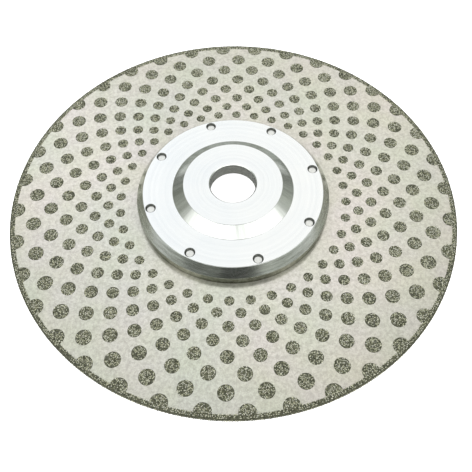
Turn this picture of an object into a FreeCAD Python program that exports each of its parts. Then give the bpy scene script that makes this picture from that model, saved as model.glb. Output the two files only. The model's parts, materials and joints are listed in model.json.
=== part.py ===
# Flanged diamond grinding wheel: a thin steel core dotted with plated diamond grit on both
# faces, a grit band around its rim, and a turned hub flange held on by countersunk screws.
#
# Millimetres. +Z is the spin axis and points out of the flanged (front) face. The origin is
# on the axis in the plane of the back face's grit, the lowest plane of the wheel.

import FreeCAD, Part
import math
import os

Vector = FreeCAD.Vector
CENTRE = Vector(0, 0, 0)
AXIS = Vector(0, 0, 1)

# Wheel
WHEEL_DIA = 250.0
CORE_THICKNESS = 1.8
GRIT_HEIGHT = 0.4            # how far the plated grit stands off the core

# Grit dots: rings of equal count, whose pitch and dot size grow outwards
DOTS_PER_RING = 36
FULL_RINGS = 7
RIM_RING_RADIUS = 121.54     # the outermost ring, whose dots run into the rim band
RIM_RING_PITCH = 9.68        # from that ring to the next one inwards
PITCH_STEP = 0.475           # each pitch is this much less than the pitch outside it
DOT_RADIUS_AT_AXIS = 0.62
DOT_RADIUS_GROWTH = 0.0316   # per millimetre of ring radius
RIM_BAND_WIDTH = 2.85        # radial width of the rim band on each face

# Hub flange
BORE_DIA = 25.4
BASE_DIA = 107.4
BASE_WALL_HEIGHT = 5.1       # upright wall above the core's front face
RING_FACE_DIA = 99.7
RING_FACE_HEIGHT = 10.5      # above the core's front face
BOSS_FOOT_DIA = 67.0
BOSS_TOP_DIA = 54.4
BOSS_HEIGHT = 4.8            # above the ring face
RECESS_DIA = 56.0            # clamp-nut recess in the back
BORE_WALL_THICKNESS = 8.6    # from the recess floor to the boss top
SPIGOT_DIA = 62.0            # centres the flange in the core's hole
SPIGOT_CLEARANCE = 0.05      # radial
EDGE_ROUND = 0.4
BORE_CHAMFER = 0.5

# Screws, M5 countersunk, driven from the back and trimmed to length so that their tips stop just
# short of the ring face; threads are plain cylinders
SCREW_COUNT = 8
SCREW_CIRCLE_DIA = 93.2
SCREW_START_DEG = 13.0       # from the first radial row of dots
SCREW_DIA = 5.0
SCREW_LENGTH = 11.0          # head included
SCREW_HEAD_DIA = 9.2
SCREW_HEAD_LAND = 0.2        # upright rim of the countersunk head
SCREW_SINK = 0.1             # head's depth below the core's back face
SCREW_CLEARANCE = 0.03       # radial
SCREW_TIP_CHAMFER = 0.5
SOCKET_FLATS = 3.0
SOCKET_DEPTH = 1.7
TAP_MOUTH_DIA = 5.7

# Heights that follow
CORE_BACK = GRIT_HEIGHT
CORE_FRONT = CORE_BACK + CORE_THICKNESS
WHEEL_FACE_TOP = CORE_FRONT + GRIT_HEIGHT
RING_FACE = CORE_FRONT + RING_FACE_HEIGHT
BOSS_TOP = RING_FACE + BOSS_HEIGHT
RECESS_FLOOR = BOSS_TOP - BORE_WALL_THICKNESS
SCREW_HEAD_TOP = CORE_BACK + SCREW_SINK

WHEEL_RADIUS = WHEEL_DIA / 2
CORE_RADIUS = WHEEL_RADIUS - GRIT_HEIGHT
BAND_INNER_RADIUS = WHEEL_RADIUS - RIM_BAND_WIDTH


def rounded_corner(before, corner, after, radius):
    """Start, middle and end of the arc that rounds a corner."""
    back = (before - corner).normalize()
    ahead = (after - corner).normalize()
    half_angle = back.getAngle(ahead) / 2
    reach = radius / math.tan(half_angle)
    inward = (back + ahead).normalize()
    middle = corner + inward * (radius / math.sin(half_angle) - radius)
    return corner + back * reach, middle, corner + ahead * reach


def turned(profile):
    """Solid of revolution from (radius, height, corner round) points in order."""
    corners = [Vector(radius, 0, height) for radius, height, _ in profile]
    count = len(corners)
    ends = []
    edges = []
    for i in range(count):
        corner_round = profile[i][2]
        if corner_round == 0:
            ends.append((corners[i], corners[i]))
            continue
        start, middle, end = rounded_corner(
            corners[i - 1], corners[i], corners[(i + 1) % count], corner_round
        )
        edges.append(Part.Arc(start, middle, end).toShape())
        ends.append((start, end))
    for i in range(count):
        edges.append(Part.makeLine(ends[i][1], ends[(i + 1) % count][0]))
    wire = Part.Wire(Part.__sortEdges__(edges))
    return Part.Face(wire).revolve(CENTRE, AXIS, 360)


def cylinder(radius, bottom, top, centre=(0, 0)):
    return Part.makeCylinder(radius, top - bottom, Vector(centre[0], centre[1], bottom), AXIS)


def hexagon(flats):
    """Hexagonal face on the base plane, from its width across flats."""
    sixth_turn = FreeCAD.Rotation(AXIS, 60)
    corners = [Vector(flats / math.sqrt(3), 0, 0)]
    for _ in range(6):
        corners.append(sixth_turn.multVec(corners[-1]))
    return Part.Face(Part.makePolygon(corners))


def around_screw_circle(shape):
    """The shape, made on the axis, copied to each screw's place."""
    copies = []
    for i in range(SCREW_COUNT):
        copy = shape.copy()
        copy.translate(Vector(SCREW_CIRCLE_DIA / 2, 0, 0))
        copy.rotate(CENTRE, AXIS, SCREW_START_DEG + i * 360 / SCREW_COUNT)
        copies.append(copy)
    return copies


def ring_radius(ring):
    """Radius of a dot ring, numbered 1 at the hub to FULL_RINGS + 1 at the rim."""
    steps = FULL_RINGS + 1 - ring
    return RIM_RING_RADIUS - steps * RIM_RING_PITCH + PITCH_STEP * steps * (steps - 1) / 2


def dot_ring(ring, bottom):
    """One ring of grit dots; neighbouring rings are half a pitch out of step."""
    radius = ring_radius(ring)
    dot_radius = DOT_RADIUS_AT_AXIS + DOT_RADIUS_GROWTH * radius
    pitch = 2 * math.pi / DOTS_PER_RING
    first = pitch / 2 if ring % 2 else 0
    top = bottom + GRIT_HEIGHT
    dots = []
    for i in range(DOTS_PER_RING):
        angle = first + i * pitch
        place = (radius * math.cos(angle), radius * math.sin(angle))
        dots.append(cylinder(dot_radius, bottom, top, place))
    if radius + dot_radius > BAND_INNER_RADIUS:
        inside_band = cylinder(BAND_INNER_RADIUS, bottom, top)
        dots = [dot.common(inside_band).Solids[0] for dot in dots]
    return Part.makeCompound(dots)


def rim_band():
    """Grit band that wraps the core's edge and laps over both faces."""
    return turned([
        (BAND_INNER_RADIUS, 0, 0),
        (WHEEL_RADIUS, 0, GRIT_HEIGHT),
        (WHEEL_RADIUS, WHEEL_FACE_TOP, GRIT_HEIGHT),
        (BAND_INNER_RADIUS, WHEEL_FACE_TOP, 0),
        (BAND_INNER_RADIUS, CORE_FRONT, 0),
        (CORE_RADIUS, CORE_FRONT, 0),
        (CORE_RADIUS, CORE_BACK, 0),
        (BAND_INNER_RADIUS, CORE_BACK, 0),
    ])


def screw_head_profile(clearance):
    """Head radius, shank radius, and the heights where the 45 degree cone starts and ends."""
    head_radius = SCREW_HEAD_DIA / 2 + clearance
    shank_radius = SCREW_DIA / 2 + clearance
    cone_start = SCREW_HEAD_TOP + SCREW_HEAD_LAND
    return head_radius, shank_radius, cone_start, cone_start + head_radius - shank_radius


def screw_hole():
    """Cutter for one screw: countersink, thread hole and its mouth in the ring face."""
    head_radius, hole_radius, cone_start, cone_end = screw_head_profile(SCREW_CLEARANCE)
    mouth_radius = TAP_MOUTH_DIA / 2
    overrun = 1.0
    return turned([
        (0, -overrun, 0),
        (head_radius, -overrun, 0),
        (head_radius, cone_start, 0),
        (hole_radius, cone_end, 0),
        (hole_radius, RING_FACE - (mouth_radius - hole_radius), 0),
        (mouth_radius, RING_FACE, 0),
        (mouth_radius, RING_FACE + overrun, 0),
        (0, RING_FACE + overrun, 0),
    ])


def core_disc():
    body = cylinder(CORE_RADIUS, CORE_BACK, CORE_FRONT)
    centre_hole = cylinder(SPIGOT_DIA / 2 + SPIGOT_CLEARANCE, 0, WHEEL_FACE_TOP)
    return body.cut([centre_hole] + around_screw_circle(screw_hole()))


def flange():
    bore = BORE_DIA / 2
    recess = RECESS_DIA / 2
    body = turned([
        (bore, RECESS_FLOOR + BORE_CHAMFER, 0),
        (bore, BOSS_TOP - BORE_CHAMFER, 0),
        (bore + BORE_CHAMFER, BOSS_TOP, 0),
        (BOSS_TOP_DIA / 2, BOSS_TOP, EDGE_ROUND),
        (BOSS_FOOT_DIA / 2, RING_FACE, EDGE_ROUND),
        (RING_FACE_DIA / 2, RING_FACE, EDGE_ROUND),
        (BASE_DIA / 2, CORE_FRONT + BASE_WALL_HEIGHT, EDGE_ROUND),
        (BASE_DIA / 2, CORE_FRONT, 0),
        (SPIGOT_DIA / 2, CORE_FRONT, 0),
        (SPIGOT_DIA / 2, CORE_BACK, EDGE_ROUND),
        (recess, CORE_BACK, EDGE_ROUND),
        (recess, RECESS_FLOOR, EDGE_ROUND),
        (bore + BORE_CHAMFER, RECESS_FLOOR, 0),
    ])
    return body.cut(around_screw_circle(screw_hole()))


def flange_screws():
    head_radius, shank_radius, cone_start, cone_end = screw_head_profile(0)
    tip = SCREW_HEAD_TOP + SCREW_LENGTH
    screw = turned([
        (0, SCREW_HEAD_TOP, 0),
        (head_radius, SCREW_HEAD_TOP, 0),
        (head_radius, cone_start, 0),
        (shank_radius, cone_end, 0),
        (shank_radius, tip - SCREW_TIP_CHAMFER, 0),
        (shank_radius - SCREW_TIP_CHAMFER, tip, 0),
        (0, tip, 0),
    ])
    socket = hexagon(SOCKET_FLATS).extrude(AXIS * (SCREW_HEAD_TOP + SOCKET_DEPTH))
    return Part.makeCompound(around_screw_circle(screw.cut(socket)))


def sub_parts():
    parts = {
        "core_disc": core_disc(),
        "rim_band": rim_band(),
        "flange": flange(),
        "flange_screws": flange_screws(),
    }
    for ring in range(1, FULL_RINGS + 2):
        parts[f"front_dots_ring_{ring}"] = dot_ring(ring, CORE_FRONT)
        parts[f"back_dots_ring_{ring}"] = dot_ring(ring, 0)
    return parts


os.makedirs("parts", exist_ok=True)
for name, shape in sub_parts().items():
    shape.exportStep(f"parts/{name}.step")
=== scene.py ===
import json
import math

import bpy
import numpy as np
from mathutils import Matrix, Vector


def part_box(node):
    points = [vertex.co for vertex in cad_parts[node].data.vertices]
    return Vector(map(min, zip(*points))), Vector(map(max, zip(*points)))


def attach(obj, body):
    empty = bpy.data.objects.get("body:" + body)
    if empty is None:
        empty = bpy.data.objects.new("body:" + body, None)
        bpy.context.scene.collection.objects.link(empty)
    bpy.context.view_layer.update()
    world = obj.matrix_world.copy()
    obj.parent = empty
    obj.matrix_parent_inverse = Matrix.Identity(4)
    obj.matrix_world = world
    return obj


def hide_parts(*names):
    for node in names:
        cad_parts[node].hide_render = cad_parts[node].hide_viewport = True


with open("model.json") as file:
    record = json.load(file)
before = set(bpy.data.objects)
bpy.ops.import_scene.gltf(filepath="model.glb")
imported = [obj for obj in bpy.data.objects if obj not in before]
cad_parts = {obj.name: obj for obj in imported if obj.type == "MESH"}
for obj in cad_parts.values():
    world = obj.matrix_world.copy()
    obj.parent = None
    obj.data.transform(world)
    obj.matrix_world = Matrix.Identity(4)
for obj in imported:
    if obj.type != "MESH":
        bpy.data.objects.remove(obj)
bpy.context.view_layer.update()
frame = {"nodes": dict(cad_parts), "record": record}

MM = 0.001
FULL_TURN = 2 * math.pi
rng = np.random.default_rng(530)

mounts = {mount["name"]: mount for mount in frame["record"]["mounts"]}


def node_radii(node):
    """Least and greatest distance of a CAD node's vertices from the axis."""
    radii = [math.hypot(v.co.x, v.co.y) for v in frame["nodes"][node].data.vertices]
    return min(radii), max(radii)


# --------------------------------------------------------------------------- mesh helpers


def mesh_object(name, points, face_groups, materials):
    """Object from an array of points and arrays of faces, one array for each face size."""
    points = np.asarray(points, np.float32)
    corners = np.concatenate([faces.ravel() for faces in face_groups])
    sizes = np.concatenate([np.full(len(faces), faces.shape[1]) for faces in face_groups])
    starts = np.concatenate([[0], np.cumsum(sizes)[:-1]])
    mesh = bpy.data.meshes.new(name)
    mesh.vertices.add(len(points))
    mesh.vertices.foreach_set("co", points.ravel())
    mesh.loops.add(len(corners))
    mesh.loops.foreach_set("vertex_index", corners.astype(np.int32))
    mesh.polygons.add(len(sizes))
    mesh.polygons.foreach_set("loop_start", starts.astype(np.int32))
    mesh.update(calc_edges=True)
    mesh.validate()
    for material in materials:
        mesh.materials.append(material)
    made = bpy.data.objects.new(name, mesh)
    bpy.context.scene.collection.objects.link(made)
    return made


def show(made, slot, *nodes):
    """Puts a finished piece in place of its CAD nodes."""
    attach(made, "root")
    if nodes:
        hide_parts(*nodes)


def smooth(made, crease_degrees=35):
    """Smooth shading that keeps creases sharp and flat faces flat."""
    made.data.shade_smooth()
    made.data.set_sharp_from_angle(angle=math.radians(crease_degrees))
    flat = made.modifiers.new("flat faces stay flat", "WEIGHTED_NORMAL")
    flat.keep_sharp = True


def rounded(corners, steps=5):
    """Outline through (radius, height, round) corners, with arcs at the rounds."""
    outline = []
    for i, (radius, height, corner_round) in enumerate(corners):
        corner = np.array([radius, height])
        if corner_round == 0:
            outline.append(corner)
            continue
        back = np.array(corners[i - 1][:2]) - corner
        ahead = np.array(corners[(i + 1) % len(corners)][:2]) - corner
        back /= np.linalg.norm(back)
        ahead /= np.linalg.norm(ahead)
        half = math.acos(np.clip(back @ ahead, -1, 1)) / 2
        inward = (back + ahead) / np.linalg.norm(back + ahead)
        centre = corner + inward * corner_round / math.sin(half)
        first = corner + back * corner_round / math.tan(half) - centre
        last = corner + ahead * corner_round / math.tan(half) - centre
        sweep = math.pi - 2 * half
        for t in np.linspace(0, 1, steps + 1):
            spoke = math.sin((1 - t) * sweep) * first + math.sin(t * sweep) * last
            outline.append(centre + spoke / math.sin(sweep))
    return np.array(outline)


def around(radii, heights, segments):
    """Rows of points round the axis. Radii and heights broadcast to (rows, segments)."""
    angles = np.arange(segments) * FULL_TURN / segments
    radii, heights = np.broadcast_arrays(radii, heights)
    radii = np.broadcast_to(radii, (len(radii), segments))
    heights = np.broadcast_to(heights, (len(heights), segments))
    return np.stack([radii * np.cos(angles), radii * np.sin(angles), heights], axis=-1)


def row_quads(rows, segments, closed):
    """Quads between neighbouring rows of points, and from the last row to the first."""
    across = np.arange(segments)
    beside = (across + 1) % segments
    quads = []
    for row in range(rows if closed else rows - 1):
        this = row * segments
        above = (row + 1) % rows * segments
        corners = [this + across, this + beside, above + beside, above + across]
        quads.append(np.stack(corners, axis=1))
    return np.concatenate(quads)


def turned_ring(outline, segments):
    """Closed ring turned from an outline that doesn't touch the axis."""
    rows = around(outline[:, :1], outline[:, 1:], segments)
    return rows.reshape(-1, 3), [row_quads(len(outline), segments, closed=True)]


def capped(rows, start_centre, end_centre):
    """Closed solid from open rows of points, with a fan at each end."""
    count, segments, _ = rows.shape
    points = np.concatenate([rows.reshape(-1, 3), [start_centre, end_centre]])
    across = np.arange(segments)
    beside = (across + 1) % segments
    last = (count - 1) * segments
    start_fan = np.stack([beside, across, np.full(segments, len(points) - 2)], axis=1)
    end_fan = np.stack([last + across, last + beside, np.full(segments, len(points) - 1)], axis=1)
    fans = np.concatenate([start_fan, end_fan])
    return points, [row_quads(count, segments, closed=False), fans]


def repeated(groups, per_copy, copies):
    """Faces of as many copies of a solid, whose points follow one another."""
    offsets = np.arange(copies) * per_copy
    return [np.concatenate([group + offset for offset in offsets]) for group in groups]


def cut(made, cutters):
    """Cuts each closed cutter out of a piece. The holes' walls take the cutter's material."""
    for cutter in cutters:
        hole = made.modifiers.new("hole", "BOOLEAN")
        hole.operation = "DIFFERENCE"
        hole.solver = "EXACT"
        hole.material_mode = "TRANSFER"
        hole.object = cutter
    depsgraph = bpy.context.evaluated_depsgraph_get()
    result = bpy.data.meshes.new_from_object(made.evaluated_get(depsgraph))
    made.modifiers.clear()
    made.data = result
    for cutter in cutters:
        bpy.data.objects.remove(cutter)


# ----------------------------------------------------------------------- material helpers


class Nodes:
    """A node tree in the making: add() makes a node, with sockets or values as inputs."""

    def __init__(self, tree):
        self.tree = tree

    def add(self, kind, inputs=None, **settings):
        node = self.tree.nodes.new("ShaderNode" + kind)
        for name, value in settings.items():
            setattr(node, name, value)
        self.feed(node, inputs or {})
        return node

    def feed(self, node, inputs):
        for key, value in inputs.items():
            socket = node.inputs[key]
            if isinstance(value, bpy.types.NodeSocket):
                self.tree.links.new(value, socket)
            else:
                socket.default_value = value

    def math(self, operation, first, second=0.0):
        return self.add("Math", {0: first, 1: second}, operation=operation).outputs[0]

    def noise(self, where, scale, detail=2.0, roughness=0.5, distortion=0.0):
        inputs = {
            "Vector": where,
            "Scale": scale,
            "Detail": detail,
            "Roughness": roughness,
            "Distortion": distortion,
        }
        return self.add("TexNoise", inputs).outputs["Fac"]

    def line_noise(self, along, scale, detail=3.0):
        inputs = {"W": along, "Scale": scale, "Detail": detail}
        return self.add("TexNoise", inputs, noise_dimensions="1D").outputs["Fac"]

    def ramp(self, value, stops):
        """Colour ramp from (position, colour) stops."""
        node = self.add("ValToRGB", {"Fac": value})
        while len(node.color_ramp.elements) < len(stops):
            node.color_ramp.elements.new(1.0)
        for element, (position, colour) in zip(node.color_ramp.elements, stops):
            element.position = position
            element.color = (*colour, 1.0)
        return node.outputs["Color"]

    def span(self, value, low, high):
        """The value, taken as 0 to 1, moved to run from low to high."""
        inputs = {"Value": value, "To Min": low, "To Max": high}
        return self.add("MapRange", inputs).outputs["Result"]

    def step(self, value, start, end):
        """0 where the value is at start, 1 where it is at end, with an eased way between."""
        inputs = {"Value": value, "From Min": start, "From Max": end}
        return self.add("MapRange", inputs, interpolation_type="SMOOTHSTEP").outputs["Result"]

    def blend(self, kind, amount, first, second):
        node = self.add("Mix", {0: amount}, data_type="RGBA", blend_type=kind)
        self.feed(node, {6: first, 7: second})
        return node.outputs[2]

    def product(self, colour, *others):
        """The colour multiplied by each of the others."""
        for other in others:
            colour = self.blend("MULTIPLY", 1.0, colour, other)
        return colour

    def level(self, direction):
        """The direction without its height."""
        inputs = {0: direction, 1: (1, 1, 0)}
        return self.add("VectorMath", inputs, operation="MULTIPLY").outputs[0]

    def height_of(self, vector):
        return self.add("SeparateXYZ", {0: vector}).outputs["Z"]

    def bump(self, height, distance, strength=1.0, under=None):
        inputs = {"Height": height, "Distance": distance, "Strength": strength}
        if under is not None:
            inputs["Normal"] = under
        return self.add("Bump", inputs).outputs["Normal"]


class Look(Nodes):
    """A material's node tree."""

    def __init__(self, name):
        self.material = bpy.data.materials.new(name)
        self.material.use_nodes = True
        super().__init__(self.material.node_tree)
        self.shader = self.tree.nodes["Principled BSDF"]

    def finish(self, **inputs):
        self.feed(self.shader, {key.replace("_", " "): value for key, value in inputs.items()})
        return self.material


def place(look):
    return look.add("TexCoord").outputs["Object"]


def axis_distance(look):
    """Distance from the spin axis."""
    flat = look.level(place(look))
    return look.add("VectorMath", {0: flat}, operation="LENGTH").outputs["Value"]


# ------------------------------------------------------------------------------ materials


def core_steel():
    """Satin steel under a thin nickel flash: fine mottling, faint green and pink clouds and
    yellowish stains, a shade lighter near the hub than near the rim."""
    look = Look("core_steel")
    where = place(look)
    clouds = look.noise(where, 22, detail=2)
    stains = look.noise(where, 45, detail=3)
    mottle = look.noise(where, 520, detail=4, roughness=0.65)
    grain = look.noise(where, 1500, detail=2)
    outward = look.step(axis_distance(look), 50 * MM, 125 * MM)
    tint = look.ramp(
        clouds,
        [
            (0.32, (0.748, 0.765, 0.694)),
            (0.5, (0.792, 0.774, 0.711)),
            (0.68, (0.83, 0.783, 0.735)),
        ],
    )
    shade = look.ramp(mottle, [(0.37, (0.78, 0.78, 0.77)), (0.6, (1.0, 1.0, 1.0))])
    speckle = look.ramp(grain, [(0.35, (0.84, 0.84, 0.82)), (0.65, (1.0, 1.0, 1.0))])
    yellowing = look.ramp(stains, [(0.35, (1.0, 1.0, 0.945)), (0.65, (0.99, 0.985, 1.0))])
    fade = look.blend("MIX", outward, (1.04, 1.04, 1.045, 1), (0.965, 0.967, 0.955, 1))
    colour = look.product(tint, shade, speckle, yellowing, fade)
    roughness = look.span(mottle, 0.16, 0.25)
    normal = look.bump(mottle, 0.012 * MM, 0.5)
    normal = look.bump(grain, 0.006 * MM, 0.6, under=normal)
    return look.finish(Base_Color=colour, Metallic=0.65, Roughness=roughness, Normal=normal)


def turned_aluminium():
    """Bright turned aluminium: concentric tool marks, scuff streaks and painted shade on the
    slopes, rougher upright walls, painted shade on the base wall and in the bore.
    """
    look = Look("turned_aluminium")
    distance = axis_distance(look)
    height = look.height_of(place(look))
    along = look.math("ADD", distance, look.math("MULTIPLY", height, 1.3))
    facing = look.math("ABSOLUTE", look.height_of(look.add("NewGeometry").outputs["Normal"]))
    slope = look.step(facing, 0.95, 0.85)
    upright = look.step(facing, 0.45, 0.25)
    bore_wall = look.math("MULTIPLY", upright, look.step(distance, 14 * MM, 13 * MM))
    base_wall = look.math("MULTIPLY", upright, look.step(distance, 36 * MM, 46 * MM))
    marks = look.line_noise(along, 3300, detail=3)
    bands = look.line_noise(along, 420, detail=2)
    smudges = look.noise(place(look), 60, detail=4, roughness=0.6)
    tint = look.ramp(smudges, [(0.3, (0.83, 0.85, 0.855)), (0.7, (0.875, 0.885, 0.875))])
    lines = look.ramp(bands, [(0.3, (0.96, 0.963, 0.968)), (0.65, (1.0, 1.0, 1.0))])
    colour = look.product(tint, lines)
    # painted shade: darkens the slopes, with scuff streaks
    colour = scuffed_and_shaded(look, colour, look.math("SUBTRACT", slope, bore_wall), along)
    # painted shade on the base wall and in the bore
    colour = specks_and_shade(look, colour, base_wall, bore_wall)
    roughness = look.math("ADD", look.span(smudges, 0.14, 0.24), look.span(marks, -0.04, 0.04))
    roughness = look.math("ADD", roughness, look.math("MULTIPLY", upright, 0.06))
    normal = look.bump(marks, 0.004 * MM, 0.5)
    normal = look.bump(bands, 0.006 * MM, 0.2, under=normal)
    tangent = look.add("Tangent", direction_type="RADIAL", axis="Z").outputs[0]
    return look.finish(
        Base_Color=colour,
        Metallic=1.0,
        Roughness=roughness,
        Anisotropic=0.3,
        Tangent=tangent,
        Normal=normal,
    )


def scuffed_and_shaded(look, colour, amount, along):
    """The colour with dull streaks, long round the axis and narrow along the profile, whose ramp
    also darkens the slopes as a whole: painted shade.
    """
    bearing = look.add("VectorMath", {0: look.level(place(look))}, operation="NORMALIZE").outputs[0]
    profile = look.add("CombineXYZ", {2: look.math("MULTIPLY", along, 1500)}).outputs[0]
    inputs = {0: bearing, 1: (4, 4, 4), 2: profile}
    drawn_out = look.add("VectorMath", inputs, operation="MULTIPLY_ADD").outputs[0]
    streaks = look.noise(drawn_out, 1.0, detail=3, roughness=0.7)
    # painted shade: every stop is below 1, so the whole slope is darkened besides the streaks
    scuffs_and_shade = look.ramp(streaks, [(0.35, (0.51, 0.522, 0.495)), (0.6, (0.78, 0.797, 0.775))])
    return look.blend("MULTIPLY", amount, colour, scuffs_and_shade)


def specks_and_shade(look, colour, base_wall, bore_wall):
    """The colour with painted shade on the base wall, darkest at its foot, and half as much in the
    bore, broken up by a speckled mottle.
    """
    wall_mottle = look.noise(place(look), 420, detail=4, roughness=0.7)
    # painted shade: the mottled ramp darkens the base wall fully and the bore by half
    shade_mottle = look.ramp(wall_mottle, [(0.35, (0.36, 0.36, 0.29)), (0.65, (0.74, 0.74, 0.66))])
    amount = look.math("ADD", base_wall, look.math("MULTIPLY", bore_wall, 0.5))
    colour = look.blend("MULTIPLY", amount, colour, shade_mottle)
    # painted shade: a contact shadow at the foot of the base wall
    foot = look.step(look.height_of(place(look)), core_high.z + 3 * MM, core_high.z)
    foot = look.math("MULTIPLY", base_wall, foot)
    return look.blend("MULTIPLY", foot, colour, (0.45, 0.45, 0.4, 1))


def cut_thread():
    """Cut metal down in the tapped holes, painted near black: painted shade for the holes' shadowed
    walls.
    """
    look = Look("cut_thread")
    where = place(look)
    shade_mottle = look.noise(where, 1200, detail=3, roughness=0.6)
    # painted shade: near-black ramp for the thread walls
    colour = look.ramp(shade_mottle, [(0.3, (0.05, 0.055, 0.05)), (0.7, (0.16, 0.165, 0.15))])
    roughness = look.span(shade_mottle, 0.3, 0.6)
    normal = look.bump(shade_mottle, 0.02 * MM, 0.5)
    return look.finish(Base_Color=colour, Metallic=1.0, Roughness=roughness, Normal=normal)


def screw_steel():
    """Bright zinc-plated screw steel, with dull specks."""
    look = Look("screw_steel")
    where = place(look)
    specks = look.noise(where, 900, detail=4, roughness=0.6)
    colour = look.ramp(specks, [(0.3, (0.66, 0.67, 0.64)), (0.7, (0.9, 0.9, 0.87))])
    roughness = look.span(specks, 0.22, 0.42)
    normal = look.bump(specks, 0.01 * MM, 0.5)
    return look.finish(Base_Color=colour, Metallic=1.0, Roughness=roughness, Normal=normal)


def nickel():
    """Dark, lumpy nickel plating that holds the crystals."""
    look = Look("plated_nickel")
    where = place(look)
    lumps = look.noise(where, 1500, detail=4, roughness=0.6)
    colour = look.ramp(lumps, [(0.3, (0.043, 0.045, 0.029)), (0.7, (0.18, 0.185, 0.128))])
    roughness = look.span(lumps, 0.35, 0.65)
    normal = look.bump(lumps, 0.1 * MM, 0.8)
    return look.finish(Base_Color=colour, Metallic=0.8, Roughness=roughness, Normal=normal)


def diamond():
    """Coarse industrial diamond: olive to straw crystals, each with its own tint."""
    look = Look("diamond_crystal")
    where = place(look)
    own = look.add("Attribute", attribute_name="tint", attribute_type="GEOMETRY").outputs["Fac"]
    colour = look.ramp(
        own,
        [
            (0.0, (0.07, 0.073, 0.042)),
            (0.3, (0.265, 0.269, 0.172)),
            (0.55, (0.72, 0.72, 0.51)),
            (1.0, (0.8, 0.8, 0.69)),
        ],
    )
    veins = look.noise(where, 2200, detail=3)
    shade = look.ramp(veins, [(0.3, (0.78, 0.78, 0.72)), (0.6, (1.0, 1.0, 1.0))])
    colour = look.blend("MULTIPLY", 1.0, colour, shade)
    roughness = look.span(veins, 0.1, 0.3)
    normal = look.bump(veins, 0.02 * MM, 0.5)
    return look.finish(Base_Color=colour, Roughness=roughness, IOR=2.2, Normal=normal)


# ------------------------------------------------------------------- core, flange, screws

SCREW_COUNT = 8
SCREW_CIRCLE = 46.6 * MM
SCREW_START = math.radians(13.0)
SCREW_CLEARANCE = 0.03 * MM
SCREW_SEGMENTS = 48
THREAD_MAJOR = 2.5 * MM
THREAD_MINOR = 2.07 * MM
THREAD_PITCH = 0.8 * MM
THREAD_STEP = 0.1 * MM
TIP_CHAMFER = 0.5 * MM
HEAD_RADIUS = 4.6 * MM
HEAD_LAND = 0.2 * MM          # upright rim of the countersunk head
HEAD_ROUND = 0.12 * MM
SOCKET_FLATS = 3.0 * MM
SOCKET_DEPTH = 1.7 * MM
SOCKET_CHAMFER = 0.15 * MM
SOCKET_FLOOR_SHARE = 0.9      # where the drilled cone starts, as a share of the hexagon
SOCKET_DRILL_DEPTH = 0.5 * MM
TAP_MOUTH_RADIUS = 2.85 * MM
BASE_WALL_HEIGHT = 5.1 * MM
RING_FACE_RADIUS = 49.85 * MM
BOSS_FOOT_RADIUS = 33.5 * MM
BOSS_TOP_RADIUS = 27.2 * MM
BOSS_HEIGHT = 4.8 * MM
SPIGOT_RADIUS = 31.0 * MM
EDGE_ROUND = 0.4 * MM
BORE_CHAMFER = 0.5 * MM
TURNED_SEGMENTS = 360
CUTTER_OVERRUN = 1.0 * MM     # how far a hole's cutter reaches past the surface it opens in

core_low, core_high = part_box("core_disc")
flange_low, flange_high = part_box("flange")
screws_low, screws_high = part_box("flange_screws")
RING_FACE = flange_high.z - BOSS_HEIGHT


def screw_places():
    for i in range(SCREW_COUNT):
        yield SCREW_START + i * FULL_TURN / SCREW_COUNT


def at_each_screw(points):
    """The points, made on the axis, at each screw's place in turn."""
    for angle in screw_places():
        turn = np.array(Matrix.Rotation(angle, 3, "Z"))
        yield (points + [SCREW_CIRCLE, 0, 0]) @ turn.T


def thread_radius(heights, angles, clearance):
    """Radius of a right-hand thread, with flat crests and roots, at each height and angle."""
    turns = heights / THREAD_PITCH - angles / FULL_TURN
    ridge = np.abs(2 * (turns % 1) - 1)
    ridge = np.clip(1.5 * ridge - 0.25, 0, 1)
    return THREAD_MINOR + clearance + (THREAD_MAJOR - THREAD_MINOR) * ridge


def head_cone(heights, clearance):
    """Radius of the screw head's cone at each height."""
    return HEAD_RADIUS + clearance - (heights - screws_low.z - HEAD_LAND)


def hexagon_radius(angles, flats):
    sixth = FULL_TURN / 6
    return flats / 2 / np.cos(angles % sixth - sixth / 2)


def cut_screw_holes(made, cutter, material):
    """Cuts a cutter, given as points and faces on the axis, out of a piece at each screw."""
    points, faces = cutter
    places = at_each_screw(points)
    cut(made, [mesh_object("cutter", placed, faces, [material]) for placed in places])


def core_disc(material):
    """The core, with its centre hole and countersinks."""
    outer = core_high.x
    inner = node_radii("core_disc")[0]
    outline = np.array(
        [
            (inner, core_low.z),
            (outer, core_low.z),
            (outer, core_high.z),
            (inner, core_high.z),
        ]
    )
    points, faces = turned_ring(outline, 2 * TURNED_SEGMENTS)
    made = mesh_object("core_disc_shown", points, faces, [material])
    start = core_low.z - CUTTER_OVERRUN
    cone_end = core_high.z + CUTTER_OVERRUN / 2
    head = HEAD_RADIUS + SCREW_CLEARANCE
    radii = np.array([[head], [head], [head_cone(cone_end, SCREW_CLEARANCE)]])
    heights = np.array([[start], [screws_low.z + HEAD_LAND], [cone_end]])
    rows = around(radii, heights, SCREW_SEGMENTS)
    cut_screw_holes(made, capped(rows, (0, 0, start), (0, 0, cone_end)), material)
    smooth(made)
    show(made, "core_steel", "core_disc")


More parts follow.
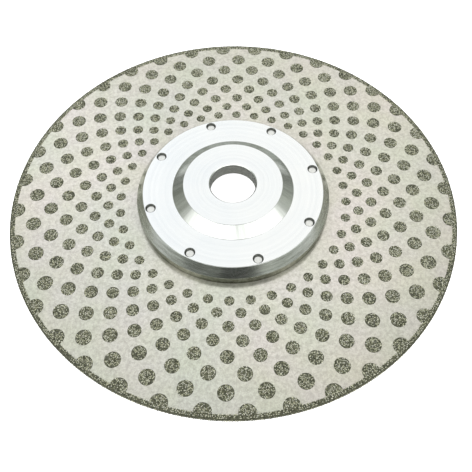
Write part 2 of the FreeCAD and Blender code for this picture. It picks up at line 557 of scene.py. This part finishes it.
def flange_outline():
    """The flange's section, from the bore's back end round over the boss and back."""
    bore = mounts["arbor_bore"]["dims"]["r_mm"] * MM
    recess = mounts["nut_recess"]["dims"]["r_mm"] * MM
    recess_floor = mounts["nut_face"]["pos_m"][2]
    seat = core_high.z
    return rounded(
        [
            (bore, recess_floor + BORE_CHAMFER, 0),
            (bore, flange_high.z - BORE_CHAMFER, 0),
            (bore + BORE_CHAMFER, flange_high.z, 0),
            (BOSS_TOP_RADIUS, flange_high.z, EDGE_ROUND),
            (BOSS_FOOT_RADIUS, RING_FACE, EDGE_ROUND),
            (RING_FACE_RADIUS, RING_FACE, EDGE_ROUND),
            (flange_high.x, seat + BASE_WALL_HEIGHT, EDGE_ROUND),
            (flange_high.x, seat, 0),
            (SPIGOT_RADIUS, seat, 0),
            (SPIGOT_RADIUS, flange_low.z, EDGE_ROUND),
            (recess, flange_low.z, EDGE_ROUND),
            (recess, recess_floor, EDGE_ROUND),
            (bore + BORE_CHAMFER, recess_floor, 0),
        ]
    )


def flange(material, thread_material):
    """The hub flange, with its tapped holes as real threads."""
    points, faces = turned_ring(flange_outline(), TURNED_SEGMENTS)
    made = mesh_object("flange_shown", points, faces, [material])
    start = core_high.z - CUTTER_OVERRUN
    heights = np.arange(start, RING_FACE + CUTTER_OVERRUN, THREAD_STEP)[:, None]
    angles = np.arange(SCREW_SEGMENTS)[None, :] * FULL_TURN / SCREW_SEGMENTS
    mouths = np.maximum(
        head_cone(heights, SCREW_CLEARANCE), TAP_MOUTH_RADIUS + heights - RING_FACE
    )
    radii = np.maximum(thread_radius(heights, angles, SCREW_CLEARANCE), mouths)
    rows = around(radii, heights, SCREW_SEGMENTS)
    cutter = capped(rows, (0, 0, heights[0, 0]), (0, 0, heights[-1, 0]))
    cut_screw_holes(made, cutter, thread_material)
    smooth(made)
    show(made, "turned_aluminium", "flange")


def screw_points():
    """One countersunk screw on the axis, as rows from the socket's floor round to the tip."""
    angles = np.arange(SCREW_SEGMENTS) * FULL_TURN / SCREW_SEGMENTS
    top, tip = screws_low.z, screws_high.z
    hexagon = hexagon_radius(angles, SOCKET_FLATS)
    ring = np.ones(SCREW_SEGMENTS)
    rows = [
        (hexagon * SOCKET_FLOOR_SHARE, top + SOCKET_DEPTH),
        (hexagon, top + SOCKET_DEPTH),
        (hexagon, top + SOCKET_CHAMFER),
        (ring * (SOCKET_FLATS / math.sqrt(3) + SOCKET_CHAMFER), top),
        (ring * (HEAD_RADIUS - HEAD_ROUND), top),
        (ring * HEAD_RADIUS, top + HEAD_ROUND),
        (ring * HEAD_RADIUS, top + HEAD_LAND),
    ]
    for height in np.arange(top + HEAD_LAND + THREAD_STEP, tip + THREAD_STEP / 2, THREAD_STEP):
        radius = np.maximum(thread_radius(height, angles, 0), head_cone(height, 0))
        if height > tip - 2 * TIP_CHAMFER:
            radius = np.minimum(radius, THREAD_MAJOR - TIP_CHAMFER + tip - height)
        rows.append((radius, height))
    radii = np.array([radius for radius, _ in rows])
    heights = np.array([[height] for _, height in rows])
    floor_centre = (0, 0, top + SOCKET_DEPTH + SOCKET_DRILL_DEPTH)
    return capped(around(radii, heights, SCREW_SEGMENTS), floor_centre, (0, 0, rows[-1][1]))


def flange_screws(material):
    points, faces = screw_points()
    groups = repeated(faces, len(points), SCREW_COUNT)
    points = np.concatenate(list(at_each_screw(points)))
    made = mesh_object("flange_screws_shown", points, groups, [material])
    smooth(made)
    show(made, "screw_steel", "flange_screws")


# ----------------------------------------------------------------------------------- grit

DOTS_PER_RING = 36
RIM_RING = 8
PAD_SEGMENTS = 28
GRIT_HEIGHT = core_low.z
NICKEL_SHARE = 0.3            # how much of the grit's height the plating fills
SEAT_DEPTH = 0.02 * MM        # how far grit is sunk into the core, so no light shows under it
CRYSTAL_SIZE = (0.6 * MM, 0.88 * MM)
CRYSTAL_STRETCH = (0.85, 1.15)
CRYSTAL_CORNERS = 9
CRYSTAL_SHAPES = 24
CRYSTAL_TOP = 0.95            # how high a crystal stands above its middle, as a share of its reach
CRYSTAL_TINTS = (0.7, 0.62)   # shape of the beta distribution: mostly dark or light, less between
SPREADING_STEPS = 30          # steps that spread a crystal's corners evenly over a sphere
SPREADING_PUSH = 0.02
CRYSTAL_PITCH = 0.82 * MM
CRYSTAL_JITTER = 0.22 * MM
LAP_MARGIN = CRYSTAL_PITCH * 0.2
LAP_ROW_PITCH = CRYSTAL_PITCH * 0.88
EDGE_ROWS = 3
CRYSTAL_MARGIN = 0.2 * MM     # from a dot's edge to its outermost crystals' centres
EDGE_SHADE = 0.45              # how much darker the crystals round the wheel's edge are drawn: painted shade
DOT_SPREAD = 0.06             # how much lightness varies from dot to dot
DOT_SLOPE = 0.09              # and across a dot
RIM_SPREAD = 0.06             # and along the rim, as the depth of each of its waves
RIM_WAVES = (7, 19, 43)       # waves round the rim
PAD_WANDER = 0.05 * MM        # how far a pad's edge wanders
CROWN = GRIT_HEIGHT * NICKEL_SHARE
BAND_INNER = node_radii("rim_band")[0]
BAND_OVERLAP = 0.2 * MM       # how far the rim ring's pads run under the band


def crystal_shapes():
    """Unit crystals: convex solids with as many corners each, so that they share a layout."""
    shapes = []
    while len(shapes) < CRYSTAL_SHAPES:
        corners = rng.normal(size=(CRYSTAL_CORNERS, 3))
        corners /= np.linalg.norm(corners, axis=1)[:, None]
        for _ in range(SPREADING_STEPS):
            apart = corners[:, None] - corners[None]
            gap = np.maximum(np.linalg.norm(apart, axis=2), 1e-6)
            push = (apart / gap[..., None] ** 3).sum(axis=1)
            corners += SPREADING_PUSH * push
            corners /= np.linalg.norm(corners, axis=1)[:, None]
        shapes.append((corners, outward_triangles(corners)))
    return shapes


def outward_triangles(corners):
    """Triangles of the convex hull of points that all lie on it, wound outwards."""
    triangles = []
    count = len(corners)
    for a in range(count):
        for b in range(a + 1, count):
            for c in range(b + 1, count):
                normal = np.cross(corners[b] - corners[a], corners[c] - corners[a])
                side = (corners - corners[a]) @ normal
                side[[a, b, c]] = 0
                if np.all(side <= 1e-9):
                    triangles.append((a, b, c))
                elif np.all(side >= -1e-9):
                    triangles.append((a, c, b))
    return np.array(triangles)


SHAPES = crystal_shapes()


def random_turns(count):
    """Random rotation matrices, from random unit quaternions."""
    quaternions = rng.normal(size=(count, 4))
    w, x, y, z = quaternions.T / np.linalg.norm(quaternions, axis=1)
    return np.stack(
        [
            np.stack([1 - 2 * (y * y + z * z), 2 * (x * y - z * w), 2 * (x * z + y * w)], axis=1),
            np.stack([2 * (x * y + z * w), 1 - 2 * (x * x + z * z), 2 * (y * z - x * w)], axis=1),
            np.stack([2 * (x * z - y * w), 2 * (y * z + x * w), 1 - 2 * (x * x + y * y)], axis=1),
        ],
        axis=1,
    )


def crystals(seats, outward, lightness):
    """Points, triangles and a tint for each triangle, of crystals that sit at the seats.

    Outward is the surface's direction at each seat, and lightness shifts each crystal's tint.
    """
    count = len(seats)
    kinds = rng.integers(CRYSTAL_SHAPES, size=count)
    shapes = np.array([corners for corners, _ in SHAPES])[kinds]
    layouts = np.array([triangles for _, triangles in SHAPES])[kinds]
    reach = rng.uniform(*CRYSTAL_SIZE, size=(count, 1, 1)) / 2
    stretch = rng.uniform(*CRYSTAL_STRETCH, size=(count, 1, 3))
    points = np.einsum("nij,nkj->nki", random_turns(count), shapes * stretch) * reach
    outward = outward[:, None]
    points += outward * (GRIT_HEIGHT - CRYSTAL_TOP * reach)
    depth = (points * outward).sum(axis=2, keepdims=True)
    points += outward * np.maximum(0, -SEAT_DEPTH - depth)
    points += seats[:, None]
    triangles = layouts + (np.arange(count) * CRYSTAL_CORNERS)[:, None, None]
    tints = np.clip(rng.beta(*CRYSTAL_TINTS, size=count) + lightness, 0, 1)
    return points.reshape(-1, 3), triangles.reshape(-1, 3), np.repeat(tints, layouts.shape[1])


def paint_tints(made, tints):
    """Gives each face its tint, which the diamond material reads."""
    own = made.data.attributes.new("tint", "FLOAT", "FACE")
    own.data.foreach_set("value", tints.astype(np.float32))


def grit_object(name, pads, grains, node, looks):
    """Plating and crystals of one ring of dots, as one piece with two materials."""
    pad_points, pad_faces = pads
    grain_points, grain_faces, tints = grains
    points = np.concatenate([pad_points, grain_points])
    groups = [*pad_faces, grain_faces + len(pad_points)]
    made = mesh_object(name, points, groups, looks)
    pad_count = sum(len(faces) for faces in pad_faces)
    is_pad = np.arange(len(made.data.polygons)) < pad_count
    made.data.polygons.foreach_set("material_index", (~is_pad).astype(np.int32))
    made.data.polygons.foreach_set("use_smooth", is_pad)
    paint_tints(made, np.concatenate([np.zeros(pad_count), tints]))
    show(made, "diamond_grit", node)


def hexagonal_spots(reach):
    """Spots of a hexagonal grid within reach of its centre."""
    count = int(reach / CRYSTAL_PITCH) + 2
    steps = np.arange(-count, count + 1)
    across, up = np.meshgrid(steps, steps)
    spots = np.stack([across + up / 2, up * math.sqrt(3) / 2], axis=-1).reshape(-1, 2)
    return spots[np.linalg.norm(spots, axis=1) < count] * CRYSTAL_PITCH


def dot_spots(dot_radius):
    """Crystal places in one dot, from a grid that is turned, shifted and jittered."""
    spots = hexagonal_spots(dot_radius + CRYSTAL_PITCH)
    angle = rng.uniform(0, FULL_TURN)
    turn = np.array([[math.cos(angle), -math.sin(angle)], [math.sin(angle), math.cos(angle)]])
    spots = spots @ turn.T + rng.uniform(-0.5, 0.5, size=2) * CRYSTAL_PITCH
    spots += rng.normal(scale=CRYSTAL_JITTER / 2, size=spots.shape)
    return spots[np.linalg.norm(spots, axis=1) < dot_radius - CRYSTAL_MARGIN]


def dot_lightness(spots):
    """How much lighter each crystal of a dot is: an offset for the dot, and a slope across it."""
    slope = rng.normal(scale=DOT_SLOPE, size=2)
    return rng.normal(scale=DOT_SPREAD) + spots @ slope


def ring_sizes():
    """Ring radius and dot radius of each dot ring, from the CAD nodes."""
    sizes = {}
    for ring in range(1, RIM_RING):
        least, greatest = node_radii(f"front_dots_ring_{ring}")
        sizes[ring] = ((greatest + least) / 2, (greatest - least) / 2)
    (radius_a, dot_a), (radius_b, dot_b) = sizes[RIM_RING - 2], sizes[RIM_RING - 1]
    growth = (dot_b - dot_a) / (radius_b - radius_a)
    least = node_radii(f"front_dots_ring_{RIM_RING}")[0]
    radius = (least + dot_b - growth * radius_b) / (1 - growth)
    sizes[RIM_RING] = (radius, radius - least)
    return sizes


def pad_rows(dot_radius, face, side):
    """Rows of one nickel pad with a wandering edge, from under its rim up to its crown."""
    angles = np.arange(PAD_SEGMENTS) * FULL_TURN / PAD_SEGMENTS
    wander = sum(
        rng.normal(scale=PAD_WANDER / k) * np.cos(k * angles + rng.uniform(0, FULL_TURN))
        for k in range(2, 8)
    )
    edge = dot_radius + wander
    rows = [
        (edge, -SEAT_DEPTH),
        (edge, CROWN * 0.4),
        (edge - 0.1 * MM, CROWN * 0.85),
        (edge - 0.25 * MM, CROWN),
        (edge * 0.5, CROWN),
    ]
    radii = np.array([radius for radius, _ in rows])
    heights = np.array([[face + side * height] for _, height in rows])
    return around(radii, heights, PAD_SEGMENTS)


def dot_ring(ring, radius, dot_radius, side, looks):
    """One ring of grit dots on the front (side 1) or back (side -1) face."""
    face = core_high.z if side > 0 else core_low.z
    foot_centre = (0, 0, face - side * SEAT_DEPTH)
    crown_centre = (0, 0, face + side * CROWN)
    first = FULL_TURN / DOTS_PER_RING / 2 if ring % 2 else 0.0
    pads, seats, lightness = [], [], []
    for i in range(DOTS_PER_RING):
        angle = first + i * FULL_TURN / DOTS_PER_RING
        middle = np.array([radius * math.cos(angle), radius * math.sin(angle), 0])
        points, faces = capped(pad_rows(dot_radius, face, side), foot_centre, crown_centre)
        pads.append(points + middle)
        spots = dot_spots(dot_radius)
        seats.append(np.column_stack([spots, np.full(len(spots), face)]) + middle)
        lightness.append(dot_lightness(spots / dot_radius))
    pads, seats, lightness = [np.concatenate(parts) for parts in (pads, seats, lightness)]
    if radius + dot_radius > BAND_INNER:
        pads = pulled_in(pads, BAND_INNER + BAND_OVERLAP)
        inside = np.hypot(seats[:, 0], seats[:, 1]) < BAND_INNER
        seats, lightness = seats[inside], lightness[inside]
    outward = np.tile([0.0, 0.0, side], (len(seats), 1))
    grains = crystals(seats, outward, lightness)
    groups = repeated(faces, len(points), DOTS_PER_RING)
    if side < 0:
        groups = [group[:, ::-1] for group in groups]
    node = f"{'front' if side > 0 else 'back'}_dots_ring_{ring}"
    grit_object(f"{node}_shown", (pads, groups), grains, node, looks)


def pulled_in(points, reach):
    """The points, with those beyond reach of the axis pulled in to it."""
    radii = np.hypot(points[:, 0], points[:, 1])
    share = np.minimum(1, reach / np.maximum(radii, 1e-9))
    return points * np.column_stack([share, share, np.ones(len(points))])


def rim_row(radius, height, scatter):
    """Crystal places round the rim, scattered by (in radius, in height) and along the row."""
    count = int(FULL_TURN * radius / CRYSTAL_PITCH)
    angles = (np.arange(count) + rng.uniform()) * FULL_TURN / count
    angles += rng.normal(scale=CRYSTAL_JITTER / radius, size=count)
    radii = radius + rng.normal(scale=scatter[0], size=count)
    heights = height + rng.normal(scale=scatter[1], size=count)
    return np.column_stack([radii * np.cos(angles), radii * np.sin(angles), heights])


def rim_band(looks):
    """The rim's plating as one turned ring, with crystals on both laps and round the edge."""
    nickel_look, diamond_look = looks
    outer = core_high.x
    outline = rounded(
        [
            (BAND_INNER, core_low.z - CROWN, CROWN / 2),
            (outer + CROWN, core_low.z - CROWN, CROWN),
            (outer + CROWN, core_high.z + CROWN, CROWN),
            (BAND_INNER, core_high.z + CROWN, CROWN / 2),
            (BAND_INNER, core_high.z - SEAT_DEPTH, 0),
            (outer - SEAT_DEPTH, core_high.z - SEAT_DEPTH, 0),
            (outer - SEAT_DEPTH, core_low.z + SEAT_DEPTH, 0),
            (BAND_INNER, core_low.z + SEAT_DEPTH, 0),
        ]
    )
    points, faces = turned_ring(outline, 2 * TURNED_SEGMENTS)
    plating = mesh_object("rim_band_plating", points, faces, [nickel_look])
    smooth(plating)
    show(plating, "diamond_grit", "rim_band")
    lap_radii = np.arange(BAND_INNER + LAP_MARGIN, outer - CRYSTAL_MARGIN, LAP_ROW_PITCH)
    for where, face in (("front", core_high.z), ("back", core_low.z)):
        rows = [rim_row(radius, face, (CRYSTAL_JITTER / 2, 0)) for radius in lap_radii]
        rim_crystals(where, rows, diamond_look)
    lowest, highest = core_low.z + CRYSTAL_MARGIN, core_high.z - CRYSTAL_MARGIN
    heights = np.linspace(lowest, highest, EDGE_ROWS)
    rows = [rim_row(outer, height, (0, CRYSTAL_JITTER / 2)) for height in heights]
    rim_crystals("edge", rows, diamond_look)


def rim_crystals(where, rows, material):
    """One field of the rim's crystals: the front or back lap, or the edge."""
    seats = np.concatenate(rows)
    away = {"front": [0, 0, 1.0], "back": [0, 0, -1.0]}.get(where)
    radii = np.hypot(seats[:, 0], seats[:, 1])[:, None]
    outward = np.tile(away, (len(seats), 1)) if away else seats * [1, 1, 0] / radii
    angles = np.arctan2(seats[:, 1], seats[:, 0])
    waves = [np.sin(k * angles + rng.uniform(0, FULL_TURN)) for k in RIM_WAVES]
    lightness = RIM_SPREAD * sum(waves)
    # painted shade: the edge's crystals are drawn darker than the laps'
    if where == "edge":
        lightness -= EDGE_SHADE
    points, triangles, tints = crystals(seats, outward, lightness)
    made = mesh_object(f"rim_band_crystals_{where}", points, [triangles], [material])
    paint_tints(made, tints)
    show(made, "diamond_grit")


# ---------------------------------------------------------------------------------- stage

FLOOR_HALF = 4.0              # half the floor's width, in metres
FLOOR_GAP = 0.02 * MM         # between the floor and the wheel's lowest plane


def floor():
    """Plain white floor, bright enough to stay white under the wheel's faint shadow."""
    look = Look("floor")
    camera_ray = look.add("LightPath").outputs["Is Camera Ray"]
    glow = look.math("MULTIPLY", camera_ray, 0.95)
    material = look.finish(
        Base_Color=(0.9, 0.9, 0.9, 1),
        Roughness=0.8,
        Emission_Color=(1, 1, 1, 1),
        Emission_Strength=glow,
    )
    sides = ((-1, -1), (1, -1), (1, 1), (-1, 1))
    corners = [(x * FLOOR_HALF, y * FLOOR_HALF, -FLOOR_GAP) for x, y in sides]
    made = mesh_object("floor", corners, [np.array([[0, 1, 2, 3]])], [material])


def heading(azimuth, elevation):
    """Unit vector: azimuth 0 is away from the camera, 90 to the right, in degrees."""
    azimuth, elevation = math.radians(azimuth), math.radians(elevation)
    flat = math.cos(elevation)
    return math.sin(azimuth) * flat, math.cos(azimuth) * flat, math.sin(elevation)


class Sky(Nodes):
    """The surroundings' node tree, painted by direction. Angles are in degrees."""

    def __init__(self, tree):
        super().__init__(tree)
        self.direction = self.add("TexCoord").outputs["Generated"]
        level = self.level(self.direction)
        self.bearing = self.add("VectorMath", {0: level}, operation="NORMALIZE").outputs[0]
        self.height = self.height_of(self.direction)

    def near(self, direction, azimuth, elevation, inner, outer):
        """1 within inner degrees of a heading, easing to 0 at outer degrees."""
        inputs = {0: direction, 1: heading(azimuth, elevation)}
        closeness = self.add("VectorMath", inputs, operation="DOT_PRODUCT").outputs["Value"]
        return self.step(closeness, math.cos(math.radians(outer)), math.cos(math.radians(inner)))

    def between(self, part, bottom, top):
        """The part, kept between two heights. Each is given as where it is 0 and where it is 1."""
        part = self.math("MULTIPLY", part, self.step(self.height, *bottom))
        return self.math("MULTIPLY", part, self.step(self.height, *top))


def room(sky):
    """Grey-green, uneven room, darker overhead and, beyond the wheel, towards the horizon."""
    clutter = sky.noise(sky.direction, 2.6, detail=3)
    walls = sky.ramp(clutter, [(0.35, (0.38, 0.40, 0.35)), (0.65, (0.57, 0.59, 0.53))])
    overhead = sky.span(sky.step(sky.height, 0.7, 0.9), 1.0, 0.6)
    horizon = sky.span(sky.step(sky.height, 0.0, 0.32), 0.42, 1.0)
    behind = sky.near(sky.bearing, 0, 0, 30, 70)
    horizon = sky.math("MAXIMUM", horizon, sky.math("SUBTRACT", 1.0, behind))
    return sky.product(walls, sky.math("MULTIPLY", overhead, horizon))


def with_panels(sky, colour):
    """Strip light on the camera's side, dimmer ones above and below its ends, and one in each far
    corner."""
    side = sky.near(sky.bearing, 180, 0, 75, 100)
    strip = sky.between(side, (0.32, 0.5), (0.79, 0.745))
    colour = sky.blend("MIX", strip, colour, (2.3, 2.31, 2.27, 1))
    high = sky.math("SUBTRACT", side, sky.near(sky.bearing, 180, 0, 28, 50))
    high = sky.between(high, (0.72, 0.8), (0.96, 0.9))
    colour = sky.blend("MIX", high, colour, (1.3, 1.31, 1.24, 1))
    low = sky.math("SUBTRACT", side, sky.near(sky.bearing, 180, 0, 28, 45))
    low = sky.between(low, (0.16, 0.29), (0.5, 0.4))
    colour = sky.blend("LIGHTEN", low, colour, (0.95, 0.96, 0.9, 1))
    far_side = sky.near(sky.bearing, 0, 0, 43, 54)
    corners = sky.math("SUBTRACT", far_side, sky.near(sky.bearing, 0, 0, 12, 30))
    corners = sky.between(corners, (0.26, 0.37), (0.72, 0.6))
    return sky.blend("MIX", corners, colour, (1.05, 1.06, 1.0, 1))


def with_key(sky, colour):
    """Soft key light up behind the wheel, cooler at its left, with a brighter spot there."""
    key = sky.near(sky.direction, -2, 54, 20, 29.5)
    across = sky.add("SeparateXYZ", {0: sky.direction}).outputs["X"]
    sweep = sky.step(across, -0.2, 0.2)
    key_colour = sky.blend("MIX", sweep, (1.07, 1.1, 1.12, 1), (1.15, 1.15, 1.13, 1))
    colour = sky.blend("MIX", key, colour, key_colour)
    sheen = sky.near(sky.direction, -22, 46, 3, 11)
    return sky.blend("MIX", sheen, colour, (1.38, 1.39, 1.43, 1))


def with_holder(sky, colour):
    """Dark shapes of the camera and of whoever holds it."""
    below_strip = sky.step(sky.height, 0.45, 0.3)
    body = sky.math("MULTIPLY", sky.near(sky.bearing, 180, 0, 8, 28), below_strip)
    arm = sky.math("MULTIPLY", sky.near(sky.bearing, -153, 0, 14, 34), below_strip)
    head = sky.near(sky.direction, 180, 71, 19, 24)
    dark = sky.math("MAXIMUM", sky.math("MAXIMUM", body, head), sky.math("MULTIPLY", arm, 0.6))
    return sky.blend("MIX", dark, colour, (0.045, 0.048, 0.042, 1))


def surroundings():
    """Studio round the wheel, which the camera itself sees as plain white."""
    world = bpy.data.worlds.new("studio")
    bpy.context.scene.world = world
    world.use_nodes = True
    sky = Sky(world.node_tree)
    colour = with_holder(sky, with_key(sky, with_panels(sky, room(sky))))
    camera_ray = sky.add("LightPath").outputs["Is Camera Ray"]
    colour = sky.blend("MIX", camera_ray, colour, (1, 1, 1, 1))
    sky.feed(sky.tree.nodes["Background"], {"Color": colour})


def camera():
    """The photograph's view: its place, aim, roll and field of view."""
    azimuth = math.radians(-2.82)
    elevation = math.radians(58.53)
    roll = math.radians(-0.61)
    distance = 342.3 * MM
    aim = Vector((1.37 * MM, -24.78 * MM, core_high.z + 0.3 * MM))
    aim.rotate(Matrix.Rotation(azimuth, 3, "Z"))
    right = Vector((math.cos(azimuth), math.sin(azimuth), 0))
    back = Vector(
        (
            math.sin(azimuth) * math.cos(elevation),
            -math.cos(azimuth) * math.cos(elevation),
            math.sin(elevation),
        )
    )
    up = back.cross(right)
    data = bpy.data.cameras.new("camera")
    data.lens = 47.8
    data.sensor_width = 36.0
    data.clip_start = 0.01
    made = bpy.data.objects.new("camera", data)
    bpy.context.scene.collection.objects.link(made)
    axes = Matrix((right, up, back)).transposed() @ Matrix.Rotation(roll, 3, "Z")
    made.matrix_world = Matrix.Translation(aim + back * distance) @ axes.to_4x4()
    bpy.context.scene.camera = made


def main():
    bpy.context.scene.view_settings.view_transform = "Standard"
    core_disc(core_steel())
    flange(turned_aluminium(), cut_thread())
    flange_screws(screw_steel())
    looks = (nickel(), diamond())
    for ring, (radius, dot_radius) in ring_sizes().items():
        for side in (1, -1):
            dot_ring(ring, radius, dot_radius, side, looks)
    rim_band(looks)
    floor()
    surroundings()
    camera()


main()
